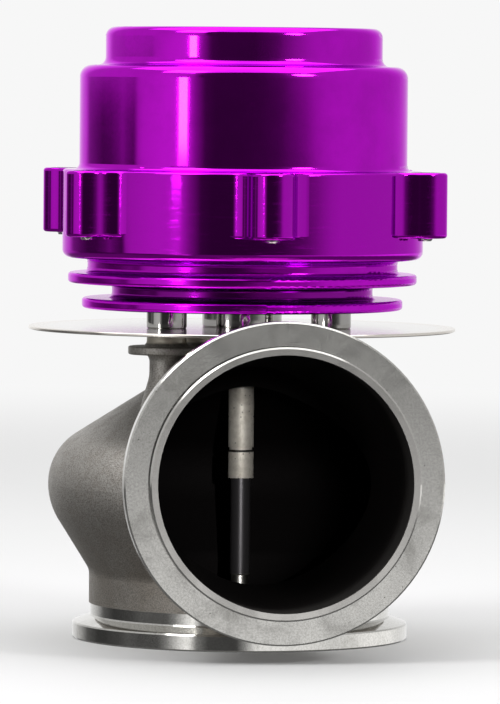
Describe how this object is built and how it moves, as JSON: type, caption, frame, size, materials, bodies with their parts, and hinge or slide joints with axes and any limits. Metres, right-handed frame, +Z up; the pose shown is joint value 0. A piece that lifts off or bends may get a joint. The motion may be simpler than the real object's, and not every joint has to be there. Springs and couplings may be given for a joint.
{
  "type": "turbo wastegate",
  "caption": "External turbo wastegate: cast valve housing with inlet and outlet clamp flanges, poppet valve, heat shield on posts, and a stepped, finned diaphragm actuator.",
  "frame": {"origin": "centre of the inlet flange's sealing face, on the valve's axis", "axes": "+Z up the valve's axis, from the inlet towards the actuator; -Y out of the outlet"},
  "size_m": [0.1068, 0.1289, 0.1525],
  "materials": {
    "cast_steel": "matte fine cast stainless, machined flange faces",
    "seat_steel": "turned",
    "valve_steel": "ground, heat darkened",
    "guide_steel": "turned, heat tinted",
    "polished_steel": "polished",
    "shield_steel": "mirror polished",
    "bronze": "turned",
    "seal_rubber": "matte",
    "seal_plastic": "matte",
    "spring_steel": "oiled",
    "fastener_steel": "plated",
    "copper_washer": "soft copper",
    "anodised_housing": "bright dip anodised, glossy",
    "anodised_cap": "bright dip anodised, glossy",
    "diaphragm_rubber": "matte, fabric backed",
    "retainer_aluminium": "turned",
    "piston_aluminium": "turned"
  },
  "bodies": {
    "housing": {"valve_housing": "cast_steel", "valve_seat": "seat_steel", "valve_guide": "guide_steel", "guide_hub": "polished_steel", "stem_scraper": "bronze", "hub_o_ring": "seal_rubber", "stem_seal": "seal_plastic", "seal_clip": "spring_steel", "heat_shield": "shield_steel", "spacer_post_1": "polished_steel", "spacer_post_2": "polished_steel", "spacer_post_3": "polished_steel", "mounting_bolts": "fastener_steel", "mounting_washers": "copper_washer", "lower_housing": "anodised_housing", "top_cap": "anodised_cap", "cap_screws": "fastener_steel"},
    "valve_train": {"valve": "valve_steel", "lower_retainer": "retainer_aluminium", "spring_piston": "piston_aluminium", "stem_washer": "fastener_steel", "stem_nut": "fastener_steel", "diaphragm": "diaphragm_rubber", "outer_spring": "spring_steel", "inner_spring": "spring_steel"}
  },
  "joints": [
    {"name": "valve_lift", "type": "slide", "parent": "housing", "child": "valve_train", "axis": [0, 0, 1], "range_m": [0, 0.014], "stiffness_N_per_m": 8000, "springref_m": -0.011, "deforming": ["outer_spring", "inner_spring", "diaphragm"]}
  ]
}
